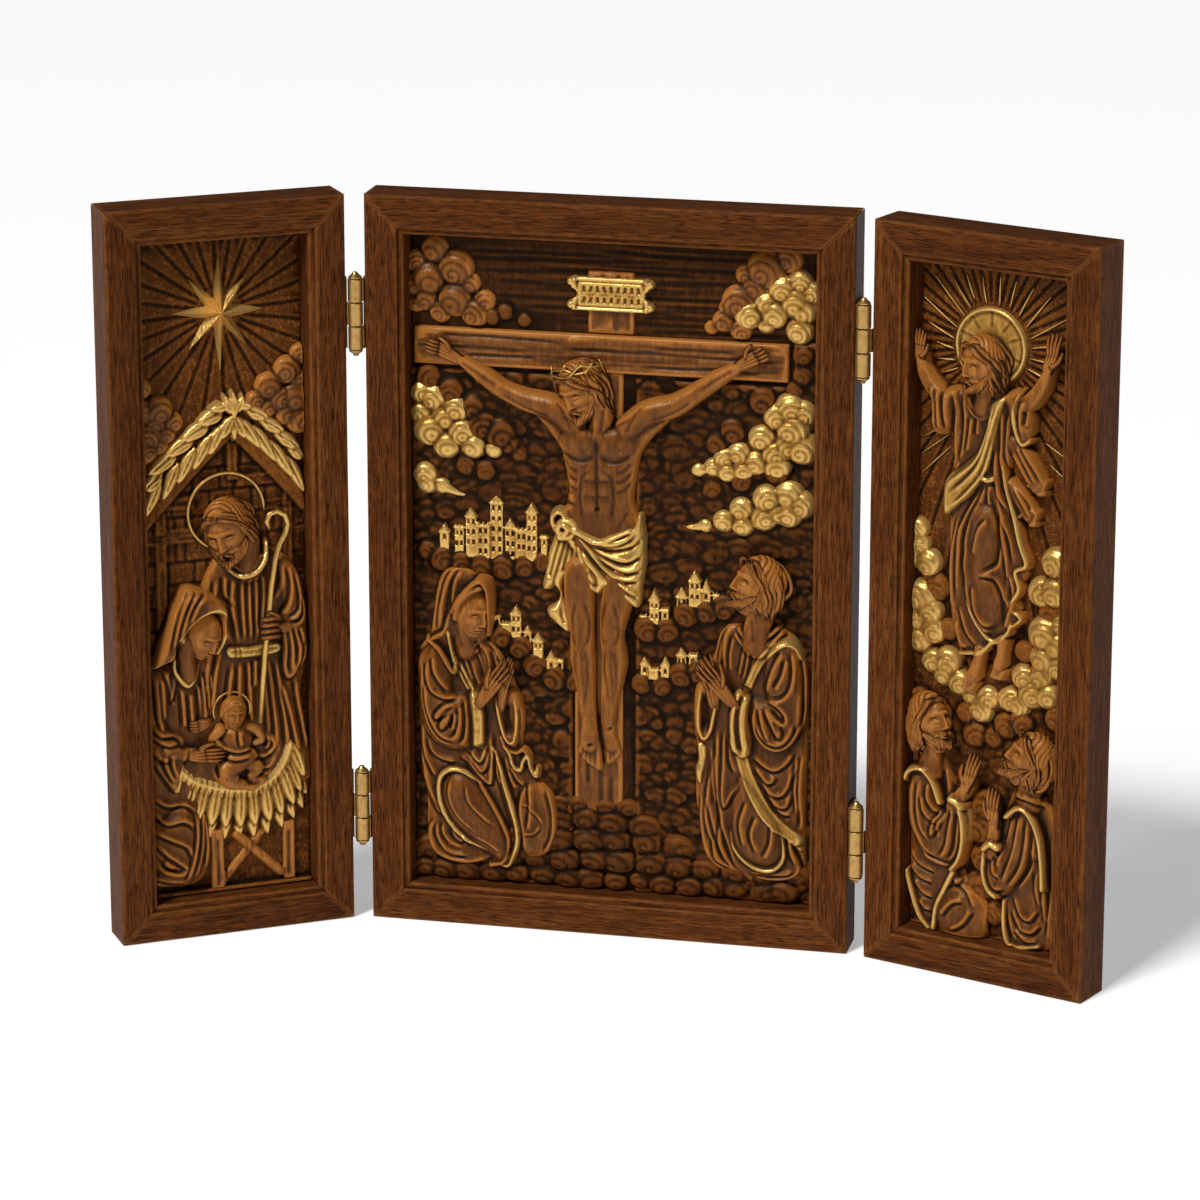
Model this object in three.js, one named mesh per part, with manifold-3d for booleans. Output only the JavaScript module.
// A folding tabletop altarpiece: a centre panel and two wings, each a deep mitred wooden frame round a
// carved relief, hung on four brass butt hinges. Millimetres, +Z up, the carved faces towards -Y.
// The origin is the middle of the centre frame's underside. The wings stand part open, and fold shut.
import * as THREE from "three";
import { mergeVertices } from "three/addons/utils/BufferGeometryUtils.js";
import Module from "manifold-3d";

const wasm = await Module();
wasm.setup();

// Driving sizes of the three leaves.
const HEIGHT = 300;
const CENTRE_WIDTH = 196;
const WING_WIDTH = CENTRE_WIDTH / 2 - 0.5;
const DEPTH = 20;
const FRONT = -DEPTH / 2;
const GAP = 7; // between the centre frame and a wing, filled by the hinge barrels
const CENTRE_FACE = 13.3; // width of the frame's flat face
const WING_FACE = 12.5;
const LEFT_OPEN = THREE.MathUtils.degToRad(34); // how far each wing stands forward of flat
const RIGHT_OPEN = THREE.MathUtils.degToRad(20);

// The frame's section.
const EDGE = 1.2; // chamfer of the outer edges
const STEP_WIDTH = 2.4; // the small sunk fillet inside the face
const STEP_SINK = 1.6;
const RECESS = 13; // from the frame's face to the rebate that holds the relief
const LAP = 3.5; // how far the relief's plate reaches behind the frame
const FIT = 0.3; // play between pieces that touch

// The relief plates.
const GROUND = FRONT + RECESS + FIT; // the carving's ground
const PLATE = DEPTH / 2 - 0.3 - GROUND;
const TOP_OF_MASS = 0.8; // how large the flat top of a carved mass is, against its foot
const TALLEST = RECESS - 1.4; // the carving stays behind the frame's face, so that the wings shut

// The hinges.
const AXIS_X = (CENTRE_WIDTH + GAP) / 2;
const AXIS_Y = FRONT - 0.5;
const HINGE_Z = [48, 252];
const KNUCKLE_R = 3;
const KNUCKLE = 9.2;
const KNUCKLE_GAP = 0.4;
const BORE_R = 1.6;
const PIN_R = 1.2;
const LEAF = 0.9;
const LEAF_REACH = 15;

const wood = new THREE.MeshStandardMaterial({ color: 0x5a3219, roughness: 0.55 });
const carved = new THREE.MeshStandardMaterial({ color: 0x4a2a16, roughness: 0.45 });
const brass = new THREE.MeshStandardMaterial({ color: 0xb08038, roughness: 0.3, metalness: 0.9 });

function solid(geometry) {
  const bare = geometry.index ? geometry.toNonIndexed() : geometry.clone();
  bare.deleteAttribute("normal");
  bare.deleteAttribute("uv");
  const merged = mergeVertices(bare, 1e-3);
  const mesh = new wasm.Mesh({
    numProp: 3,
    vertProperties: merged.attributes.position.array,
    triVerts: new Uint32Array(merged.index.array),
  });
  return new wasm.Manifold(mesh);
}

function geometryOf(manifold) {
  const mesh = manifold.getMesh();
  return new THREE.BufferGeometry()
    .setAttribute("position", new THREE.BufferAttribute(new Float32Array(mesh.vertProperties), 3))
    .setIndex(new THREE.BufferAttribute(new Uint32Array(mesh.triVerts), 1));
}

function named(name, geometry, material) {
  const mesh = new THREE.Mesh(geometry, material);
  mesh.name = name;
  return mesh;
}

const joined = (solids) => solids.reduce((whole, next) => whole.add(next));

// ---- Frames: four rails of one section, mitred at the corners ----

// The section, x inwards from the frame's outer edge and y from its face to its back.
function railSection(face) {
  const inner = face + STEP_WIDTH;
  const shape = new THREE.Shape();
  shape.moveTo(0, EDGE);
  shape.lineTo(EDGE, 0);
  shape.lineTo(face - 0.6, 0);
  shape.lineTo(face, 0.6);
  shape.lineTo(face, STEP_SINK);
  shape.lineTo(inner - 0.8, STEP_SINK);
  shape.lineTo(inner, STEP_SINK + 0.8);
  shape.lineTo(inner, RECESS);
  shape.lineTo(inner - LAP, RECESS);
  shape.lineTo(inner - LAP, DEPTH);
  shape.lineTo(EDGE, DEPTH);
  shape.lineTo(0, DEPTH - EDGE);
  return shape;
}

// One rail, its outer edge on x = 0 and its middle at z = 0, with both ends cut to 45 degrees.
function rail(face, length) {
  const geometry = new THREE.ExtrudeGeometry(railSection(face), { depth: 1, bevelEnabled: false });
  const at = geometry.attributes.position;
  for (let i = 0; i < at.count; i++) {
    const end = at.getZ(i) > 0.5 ? 1 : -1;
    at.setZ(i, end * (length / 2 - at.getX(i) - FIT / 2));
  }
  return geometry;
}

function frame(prefix, width, face) {
  const group = new THREE.Group();
  const sides = [
    ["left_stile", HEIGHT, 0, -width / 2, HEIGHT / 2],
    ["top_rail", width, Math.PI / 2, 0, HEIGHT],
    ["right_stile", HEIGHT, Math.PI, width / 2, HEIGHT / 2],
    ["bottom_rail", width, -Math.PI / 2, 0, 0],
  ];
  for (const [name, length, turn, x, z] of sides) {
    const piece = named(`${prefix}_${name}`, rail(face, length), wood);
    piece.rotation.y = turn;
    piece.position.set(x, FRONT, z);
    group.add(piece);
  }
  return group;
}

// ---- Relief: low forms joined to a plate. A place is [across, up], and rise is height over the ground

function placed(geometry, [across, up], rise) {
  return geometry.translate(across, GROUND - rise, up);
}

function ball(at, radius, rise = 0) {
  return solid(placed(new THREE.IcosahedronGeometry(radius), at, rise));
}

function block([left, bottom], [right, top], rise) {
  const box = new THREE.BoxGeometry(right - left, rise + 1, top - bottom);
  return solid(placed(box, [(left + right) / 2, (bottom + top) / 2], (rise - 1) / 2));
}

// A tapered round member with pointed ends, such as a forearm.
function limb(from, to, radius, endRadius = radius, rise = 2, endRise = rise) {
  const a = new THREE.Vector3(from[0], GROUND - rise, from[1]);
  const b = new THREE.Vector3(to[0], GROUND - endRise, to[1]);
  const along = b.clone().sub(a);
  const length = along.length();
  const profile = [[0, -radius * 0.7], [radius, 0], [endRadius, length], [0, length + endRadius * 0.7]];
  const bar = new THREE.LatheGeometry(profile.map((p) => new THREE.Vector2(...p)), 4);
  const upright = new THREE.Vector3(0, 1, 0);
  bar.applyQuaternion(new THREE.Quaternion().setFromUnitVectors(upright, along.normalize()));
  return solid(bar.translate(a.x, a.y, a.z));
}

// A raised edge, roll or strand that follows the points given: a square bar set on its corner.
function path(points, radius, rise) {
  const route = new THREE.CatmullRomCurve3(points.map(([x, z]) => new THREE.Vector3(x, GROUND - rise, z)));
  const corners = [[radius, 0], [0, radius], [-radius, 0], [0, -radius]];
  const section = corners.map((p) => new THREE.Vector2(...p));
  const options = { extrudePath: route, steps: points.length - 1, bevelEnabled: false };
  return solid(new THREE.ExtrudeGeometry(new THREE.Shape(section), options));
}

// A mass of cloth or rock: its flanks lean in from the outline given to a smaller flat top.
function mass(points, rise) {
  const outline = points.map((p) => new THREE.Vector2(...p));
  const middle = outline.reduce((sum, p) => sum.add(p), new THREE.Vector2()).divideScalar(outline.length);
  const options = { depth: rise + 1, bevelEnabled: false };
  const geometry = new THREE.ExtrudeGeometry(new THREE.Shape(outline), options);
  const at = geometry.attributes.position;
  for (let i = 0; i < at.count; i++) {
    const lean = at.getZ(i) > 0 ? TOP_OF_MASS : 1;
    at.setX(i, middle.x + (at.getX(i) - middle.x) * lean);
    at.setY(i, middle.y + (at.getY(i) - middle.y) * lean);
  }
  return solid(geometry.rotateX(Math.PI / 2).translate(0, GROUND + 1, 0));
}

const puffs = (list) => joined(list.map(([across, up, r]) => ball([across, up], r, r * 0.35)));

// A head: skull and jaw, turned to face the way that it looks. look is [across, up] on the panel.
function head([across, up], size, look, rise) {
  const [dx, dz] = look;
  const jaw = ball([across + dx * size * 0.3, up - size * 0.55 + dz * size * 0.3], size * 0.62, rise);
  const skull = solid(placed(new THREE.SphereGeometry(size, 7, 5), [across, up], rise));
  return joined([skull, jaw]);
}

// A relief: its forms cut to the frame's opening, on the plate that the frame holds.
function relief(name, width, face, forms) {
  const inner = face + STEP_WIDTH;
  const open = [width - 2 * (inner + FIT), HEIGHT - 2 * (inner + FIT)];
  const held = [width - 2 * (inner - LAP + FIT), HEIGHT - 2 * (inner - LAP + FIT)];
  const cut = new THREE.BoxGeometry(open[0], TALLEST + 1, open[1]);
  const window = solid(cut.translate(0, GROUND + 1 - (TALLEST + 1) / 2, HEIGHT / 2));
  const plate = new THREE.BoxGeometry(held[0], PLATE, held[1]);
  plate.translate(0, GROUND + PLATE / 2, HEIGHT / 2);
  const whole = joined(forms).intersect(window).add(solid(plate));
  return named(name, geometryOf(whole), carved);
}

// ---- The centre: the crucifixion, with two kneeling mourners ----

const CROSS = { middle: -4, half: 9.5, beam: [231, 246.5], left: -80, right: 71, top: 272 };

function cross() {
  const { middle, half, beam, left, right, top } = CROSS;
  return [
    block([middle - half, 30], [middle + half, top], 2.2),
    block([left, beam[0]], [right, beam[1]], 3.4),
    block([-19, 256], [13, 269.5], 4.6),
  ];
}

function crucified() {
  return [
    limb([-24, 212], [-46, 221], 4.6, 3.8, 5.5, 5),
    limb([-46, 221], [-71, 239], 3.8, 2.4, 5),
    limb([14, 214], [33, 222], 4.6, 3.8, 5.5, 5),
    limb([33, 222], [58, 239.5], 3.8, 2.4, 5),
    mass([
      [-24, 216], [-14, 208], [-5, 206], [4, 208], [14, 218], [12, 196], [9, 183], [10, 168],
      [-18, 168], [-17, 183], [-21, 197],
    ], 8),
    limb([-14, 200], [4, 200], 7, 7, 2.5),
    head([-11, 225], 8, [-0.45, -0.3], 5),
    path([[-19, 226], [-12, 231], [-4, 230]], 1.6, 10),
    // the loincloth, with its knot and hanging end
    mass([[-21, 172], [-5, 166], [13, 172], [14, 152], [12, 137], [-1, 144], [-9, 142], [-19, 147]], 9),
    mass([[-22, 168], [-17, 150], [-17, 134], [-20, 124], [-27, 131], [-26, 150]], 5),
    limb([-20, 171], [-24, 164], 2.4, 2, 6),
    // legs and feet
    limb([-11.5, 148], [-11, 121], 6.3, 4.9, 3.4, 5),
    limb([-11, 121], [-7.5, 86], 5, 2.4, 4.6, 4),
    limb([3, 148], [0.5, 121], 6.3, 4.9, 3.4, 5),
    limb([0.5, 121], [-2.5, 86], 5, 2.4, 4.6, 3.6),
    limb([-8, 84], [-9, 70], 2.6, 4, 5.5, 4),
    limb([-2, 84], [-1, 73], 2.6, 3.2, 4.6, 3.6),
  ];
}

function kneelingWoman() {
  return [
    mass([
      [-66, 147], [-53, 142], [-50, 130], [-47, 114], [-40, 96], [-38, 74], [-31, 60], [-25, 44],
      [-36, 27], [-60, 21], [-76, 24], [-78, 40], [-79, 62], [-80, 90], [-77, 112], [-71, 132],
    ], 6),
    limb([-70, 104], [-69, 80], 8, 8.5, 3),
    limb([-69, 80], [-50, 92], 7, 5, 4.5),
    limb([-50, 92], [-41, 111], 3, 1.6, 6.5),
    limb([-66, 54], [-49, 32], 11, 10, 1.5),
    limb([-41, 56], [-33, 38], 8.5, 8, 1.5),
    mass([[-58, 96], [-52, 97], [-50, 78], [-58, 73]], 9.5),
    path([[-70, 62], [-73, 48], [-60, 34]], 1.4, 8),
    path([[-48, 72], [-41, 48], [-43, 27]], 1.6, 6.5),
    head([-58, 131], 8, [0.75, 0], 3.5),
    path([[-50, 140], [-60, 144], [-68, 134], [-72, 116]], 3, 5.5),
  ];
}

function kneelingMan() {
  return [
    mass([
      [58, 134], [68, 131], [75, 120], [77, 100], [76, 60], [77, 34], [66, 25], [50, 26], [42, 34],
      [37, 52], [41, 84], [38, 106], [43, 124],
    ], 6),
    limb([68, 120], [68, 96], 8, 8.5, 3),
    limb([68, 96], [51, 96], 7.5, 5.5, 4.5),
    limb([49, 101], [38, 117], 3, 1.6, 6.5),
    mass([[48, 105], [55, 104], [57, 84], [50, 80]], 9.5),
    path([[66, 128], [56, 110], [52, 84], [58, 62], [75, 47]], 1.8, 7),
    limb([57, 56], [58, 36], 10, 9, 1.5),
    head([57, 148], 8, [-0.8, 0.25], 3.5),
    path([[59, 157], [67, 148], [66, 138]], 3.2, 5.5),
    limb([54, 137], [56, 130], 4.5, 5.5, 3),
  ];
}

const CENTRE_CLOUDS = [
  [-71, 273, 9], [-74, 257, 9], [-57, 256, 7],
  [56, 267, 9], [71, 267, 9], [62, 255, 8],
  [-73, 214, 9], [-74, 200, 8], [-60, 201, 8],
  [-73, 183, 7],
  [69, 216, 9], [69, 202, 8], [55, 200, 8],
  [70, 182, 9], [57, 176, 7],
];

// A hill town: each tower is [across, foot, top, width].
const TOWERS = [
  [-60, 153, 166, 9], [-48, 149, 177, 6], [-41, 150, 166, 7], [-32.5, 149, 174, 6],
  [-44, 119, 130, 8], [-34, 112, 123, 8],
  [17, 130, 141, 6], [27, 134, 144, 7], [35, 137, 150, 7], [18, 106, 114, 12],
];

function tower([across, foot, top, width]) {
  return block([across - width / 2, foot], [across + width / 2, top], 3.4);
}

function rocks() {
  return [
    mass([
      [-80, 16], [-80, 25], [-58, 22], [-40, 28], [-24, 40], [-10, 36], [-2, 44],
      [8, 37], [16, 42], [30, 38], [40, 27], [60, 26], [80, 22], [80, 16],
    ], 3.6),
    ball([-14, 32], 9, 1),
    ball([10, 31], 8, 1),
    ball([28, 27], 8, 1),
  ];
}

function centreRelief() {
  return relief("centre_relief", CENTRE_WIDTH, CENTRE_FACE, [
    ...cross(),
    puffs(CENTRE_CLOUDS),
    ...TOWERS.map(tower),
    ...rocks(),
    ...crucified(),
    ...kneelingWoman(),
    ...kneelingMan(),
  ]);
}

// ---- The left wing: the nativity under a star ----

function star([across, up], long, short) {
  const points = [];
  for (let i = 0; i < 16; i++) {
    const reach = i % 2 ? 5 : i % 4 ? short : long;
    const angle = (i * Math.PI) / 8;
    points.push(new THREE.Vector2(across + reach * Math.sin(angle), up + reach * Math.cos(angle)));
  }
  const geometry = new THREE.ExtrudeGeometry(new THREE.Shape(points), { depth: 4.2, bevelEnabled: false });
  return solid(geometry.rotateX(Math.PI / 2).translate(0, GROUND + 1, 0));
}

// A ridged leaf on the relief, from its stalk along angle (radians from straight up, clockwise).
function leaf([across, up], length, width, angle, rise) {
  const blade = new THREE.OctahedronGeometry(1).scale(width / 2, rise, length / 2);
  blade.translate(0, 0, length / 2);
  return solid(placed(blade.rotateY(angle), [across, up], 0));
}

function garland() {
  const leaves = [];
  for (const side of [-1, 1]) {
    const reach = side < 0 ? 37 : 32;
    for (let i = 0; i < 5; i++) {
      const t = i / 4.3;
      const at = [4 + side * (3 + t * (reach - 8)), 216 - t * 30];
      leaves.push(leaf(at, 15, 6, side * 1.85, 5.2), leaf(at, 13, 6, side * 2.5, 4.4));
    }
  }
  return [joined(leaves), mass([[-3, 218], [4, 222], [11, 218], [4, 209]], 6)];
}

function stable() {
  return [
    block([-29, 18], [-23.5, 183], 2.4),
    block([24, 60], [29, 184], 2.4),
    block([0, 188], [6, 211], 2.4),
    block([-33, 174], [33, 180], 1.6),
    block([-33, 160], [33, 166], 1.6),
    mass([[-38, 172], [4, 207], [38, 176], [38, 183], [4, 214], [-38, 179]], 3.4),
  ];
}

function joseph() {
  return [
    mass([
      [-4, 150], [8, 155], [22, 153], [30, 140], [33, 118], [30, 98], [33, 62], [0, 62], [-6, 90],
      [-8, 130],
    ], 5),
    head([-1, 168], 8.2, [-0.5, -0.35], 3.5),
    path([[-8, 172], [0, 179], [9, 172], [14, 163]], 3, 5.5),
    limb([25, 145], [31, 124], 6.5, 6, 2.5),
    limb([31, 124], [18, 125], 5, 3, 4.5, 7),
    path([[14, 110], [20, 90], [26, 70]], 1.6, 5),
    block([0, 112], [18, 117], 6.4),
    path([[17, 167], [18, 171], [22, 172], [25, 168], [22, 157], [17, 126], [11, 86]], 1.3, 8),
  ];
}

function halo([across, up], radius, rise) {
  const ring = new THREE.TorusGeometry(radius, 0.9, 4, 12).rotateX(Math.PI / 2);
  return solid(placed(ring, [across, up], rise));
}

function mother() {
  return [
    mass([
      [-14, 146], [-3, 138], [0, 131], [-4, 112], [-6, 92], [-8, 72], [-22, 62], [-12, 40], [-11, 22],
      [-33, 17], [-34, 60], [-34, 108], [-26, 124], [-22, 140],
    ], 5.5),
    head([-9.5, 123], 7.6, [0.6, -0.35], 3.5),
    path([[-1, 130], [-11, 133], [-20, 122]], 3, 5.5),
    limb([-29, 102], [-29, 78], 6, 6, 3),
    limb([-29, 78], [-12, 75], 5, 2.6, 5),
    limb([-12, 75], [-4, 74], 2.4, 1.6, 6.5),
    limb([-26, 50], [-22, 28], 8, 8, 1.5),
    path([[-23, 118], [-17, 105], [-14, 84]], 1.4, 6),
  ];
}

function childAndManger() {
  const leaves = [];
  for (let i = 0; i < 9; i++) {
    const t = i / 8;
    const rim = 58 + 40 * (t - 0.44) ** 2;
    leaves.push(leaf([-22 + t * 53, rim], 19, 7, Math.PI + (t - 0.5) * 0.9, 8));
  }
  return [
    mass([[-22, 66], [-8, 60], [6, 57], [22, 62], [31, 68], [32, 52], [20, 44], [0, 42], [-20, 48]], 6),
    joined(leaves),
    block([-9, 17], [-3, 44], 3.6),
    block([21.5, 17], [27.5, 44], 3.6),
    path([[3, 40], [19, 19]], 2, 1.6),
    path([[12, 40], [-3, 20]], 2, 1.2),
    mass([[-9, 84], [0, 87], [9, 84], [15, 72], [18, 62], [4, 57], [-8, 60], [-10, 72]], 8),
    ball([0, 92], 6.4, 5),
    limb([8, 82], [13, 77], 2.4, 2, 7),
    limb([-8, 80], [-4, 76], 2.2, 1.8, 7),
    ball([0, 65], 5.4, 4.5),
    limb([10, 72], [14, 63], 3, 2.4, 6),
    block([-33, 14], [33, 18], 4),
  ];
}

const LEFT_CLOUDS = [[-31, 221, 8], [-23, 213, 6], [-30, 204, 6], [31, 233, 6], [29, 219, 8], [19, 217, 6]];

function leftRelief() {
  return relief("left_wing_relief", WING_WIDTH, WING_FACE, [
    star([-0.5, 254], 23, 17),
    puffs(LEFT_CLOUDS),
    ...stable(),
    ...garland(),
    halo([1, 174], 15, 2.6),
    ...joseph(),
    ...mother(),
    ...childAndManger(),
  ]);
}

// ---- The right wing: the ascension, with two kneeling witnesses ----

function ascending() {
  return [
    solid(placed(new THREE.CylinderGeometry(15, 15, 3.4, 24), [-3, 253.5], 1.2)),
    limb([-16, 230], [-26, 237], 5, 3.6, 4.5),
    limb([-26, 237], [-32, 257], 3, 1.6, 5),
    limb([9, 230], [19, 238], 5, 3.6, 4.5),
    limb([19, 238], [27, 259], 3, 1.6, 5),
    mass([
      [-18, 234], [-5, 232], [8, 235], [9, 214], [6, 200], [10, 184], [16, 170], [13, 148], [2, 137],
      [-8, 131], [-15, 140], [-19, 165], [-20, 190], [-17, 204], [-19, 218],
    ], 6),
    mass([[-26, 233], [-18, 234], [-16, 220], [-22, 217], [-26, 219]], 6),
    mass([[8, 238], [14, 236], [16, 220], [12, 217], [7, 222]], 6),
    path([[4, 234], [-3, 217], [-9, 204], [-18, 194]], 2.8, 5.6),
    limb([-4, 192], [-6, 168], 7, 6, 2.5),
    limb([-6, 168], [2, 148], 5.5, 4, 2.5),
    path([[6, 214], [8, 198], [14, 178], [16, 168]], 2, 5),
    path([[14, 214], [19, 206], [23, 200]], 4, 2),
    head([-5, 248], 7.6, [-0.45, 0], 4),
    path([[-12, 246], [-8, 255], [0, 256], [4, 246], [5, 238]], 2.6, 4.6),
    limb([-2, 138], [-6, 121], 3.4, 2, 2),
    limb([4, 142], [5, 128], 3.4, 2.2, 2),
  ];
}

function witnesses() {
  return [
    mass([[-34, 78], [-26, 84], [-18, 80], [-12, 66], [-8, 50], [-9, 36], [0, 22], [-8, 16], [-34, 16]], 6),
    limb([-28, 74], [-22, 52], 7, 8.5, 3),
    limb([-20, 50], [-10, 66], 6.5, 4.5, 4.5, 6),
    limb([-9, 68], [-2, 91], 2.8, 1.4, 7),
    limb([-14, 32], [-8, 22], 9, 8, 1.5),
    path([[-33, 74], [-27, 82], [-18, 76], [-13, 64]], 1.3, 8.5),
    head([-23, 103], 8.4, [0.75, 0.2], 3.5),
    path([[-22, 112], [-31, 106], [-33, 94]], 3.2, 5),
    limb([-25, 93], [-25, 84], 4.5, 5.5, 3),
    mass([
      [16, 76], [24, 78], [31, 70], [33, 40], [30, 17], [14, 16], [8, 26], [3, 42], [3, 56], [9, 64],
    ], 6),
    limb([22, 70], [18, 48], 6.5, 7.5, 3),
    limb([16, 44], [7, 50], 6.5, 4.5, 4.5),
    limb([7, 54], [5, 78], 3.4, 1.6, 3),
    path([[11, 70], [19, 73], [26, 62], [29, 44]], 1.3, 8.5),
    head([21, 94], 8, [-0.75, 0.3], 3.5),
    path([[21, 103], [29, 97], [29, 86]], 3, 5),
    limb([23, 85], [25, 77], 4.2, 5, 3),
    mass([[-34, 20], [0, 24], [34, 20], [34, 13], [-34, 13]], 3),
  ];
}

const RIGHT_CLOUDS = [
  [-31, 179, 6], [-30, 164, 8], [-29, 145, 9], [-21, 127, 9], [-7, 116, 8],
  [29, 171, 7], [26, 153, 8], [24, 134, 9], [14, 119, 8],
];

function rightRelief() {
  const forms = [puffs(RIGHT_CLOUDS), ...ascending(), ...witnesses()];
  return relief("right_wing_relief", WING_WIDTH, WING_FACE, forms);
}

// ---- Hinges: two leaves on the frames' edges, and a pin with turned ends ----

// Closed tube round the hinge's axis, standing from one height to the other.
function knuckle(from, to) {
  const outline = [[BORE_R, from], [KNUCKLE_R, from], [KNUCKLE_R, to], [BORE_R, to], [BORE_R, from]];
  const tube = new THREE.LatheGeometry(outline.map((p) => new THREE.Vector2(...p)), 10);
  return solid(tube.rotateX(Math.PI / 2));
}

// A leaf on the side given: -1 for the one left of the axis. rows are the knuckles that it carries.
function hingeLeaf(side, rows) {
  const pitch = KNUCKLE + KNUCKLE_GAP;
  const half = 1.5 * pitch;
  const shape = new THREE.Shape();
  const start = KNUCKLE_R + 0.5;
  shape.moveTo(start, -half);
  shape.lineTo(LEAF_REACH - 3, -half);
  shape.lineTo(LEAF_REACH, -half + 3);
  shape.lineTo(LEAF_REACH, half - 3);
  shape.lineTo(LEAF_REACH - 3, half);
  shape.lineTo(start, half);
  const plate = new THREE.ExtrudeGeometry(shape, { depth: LEAF, bevelEnabled: false });
  plate.rotateX(Math.PI / 2).rotateZ(Math.PI / 2);
  plate.translate(side < 0 ? -GAP / 2 + FIT : GAP / 2 - FIT - LEAF, 0, 0);
  const pieces = [solid(plate)];
  for (const row of rows) {
    const low = (row - 1) * pitch - KNUCKLE / 2;
    pieces.push(knuckle(low, low + KNUCKLE));
    const tab = new THREE.BoxGeometry(LEAF, start + 0.2 - 1, KNUCKLE);
    const across = side * (GAP / 2 - FIT - LEAF / 2);
    pieces.push(solid(tab.translate(across, (start + 0.2 + 1) / 2, low + KNUCKLE / 2)));
  }
  return geometryOf(joined(pieces));
}

function hingePin() {
  const end = 1.5 * (KNUCKLE + KNUCKLE_GAP) + 0.1;
  const half = [[PIN_R, end], [2.7, end], [2.7, end + 0.5], [0.9, end + 2.2], [0, end + 2.5]];
  const outline = [...half.map(([r, y]) => [r, -y]).reverse(), ...half];
  return new THREE.LatheGeometry(outline.map((p) => new THREE.Vector2(...p)), 7).rotateX(Math.PI / 2);
}

// ---- The whole, with each wing turned about its hinges' axis ----

const altarpiece = new THREE.Group();
altarpiece.add(frame("centre", CENTRE_WIDTH, CENTRE_FACE), centreRelief());

function wing(side, open, prefix, carving) {
  const turned = new THREE.Group();
  turned.position.set(side * AXIS_X, AXIS_Y, 0);
  turned.rotation.z = -side * open;
  const leaves = new THREE.Group();
  leaves.position.set(side * (GAP / 2 + WING_WIDTH / 2), -AXIS_Y, 0);
  leaves.add(frame(prefix, WING_WIDTH, WING_FACE), carving);
  turned.add(leaves);
  altarpiece.add(turned);
  HINGE_Z.forEach((up, i) => {
    const label = `${side < 0 ? "left" : "right"}_${i ? "upper" : "lower"}_hinge`;
    const centreLeaf = named(`${label}_centre_leaf`, hingeLeaf(-side, [0, 2]), brass);
    centreLeaf.position.set(side * AXIS_X, AXIS_Y, up);
    const pin = named(`${label}_pin`, hingePin(), brass);
    pin.position.copy(centreLeaf.position);
    altarpiece.add(centreLeaf, pin);
    const wingLeaf = named(`${label}_wing_leaf`, hingeLeaf(side, [1]), brass);
    wingLeaf.position.z = up;
    turned.add(wingLeaf);
  });
}

wing(-1, LEFT_OPEN, "left_wing", leftRelief());
wing(1, RIGHT_OPEN, "right_wing", rightRelief());

export default altarpiece;
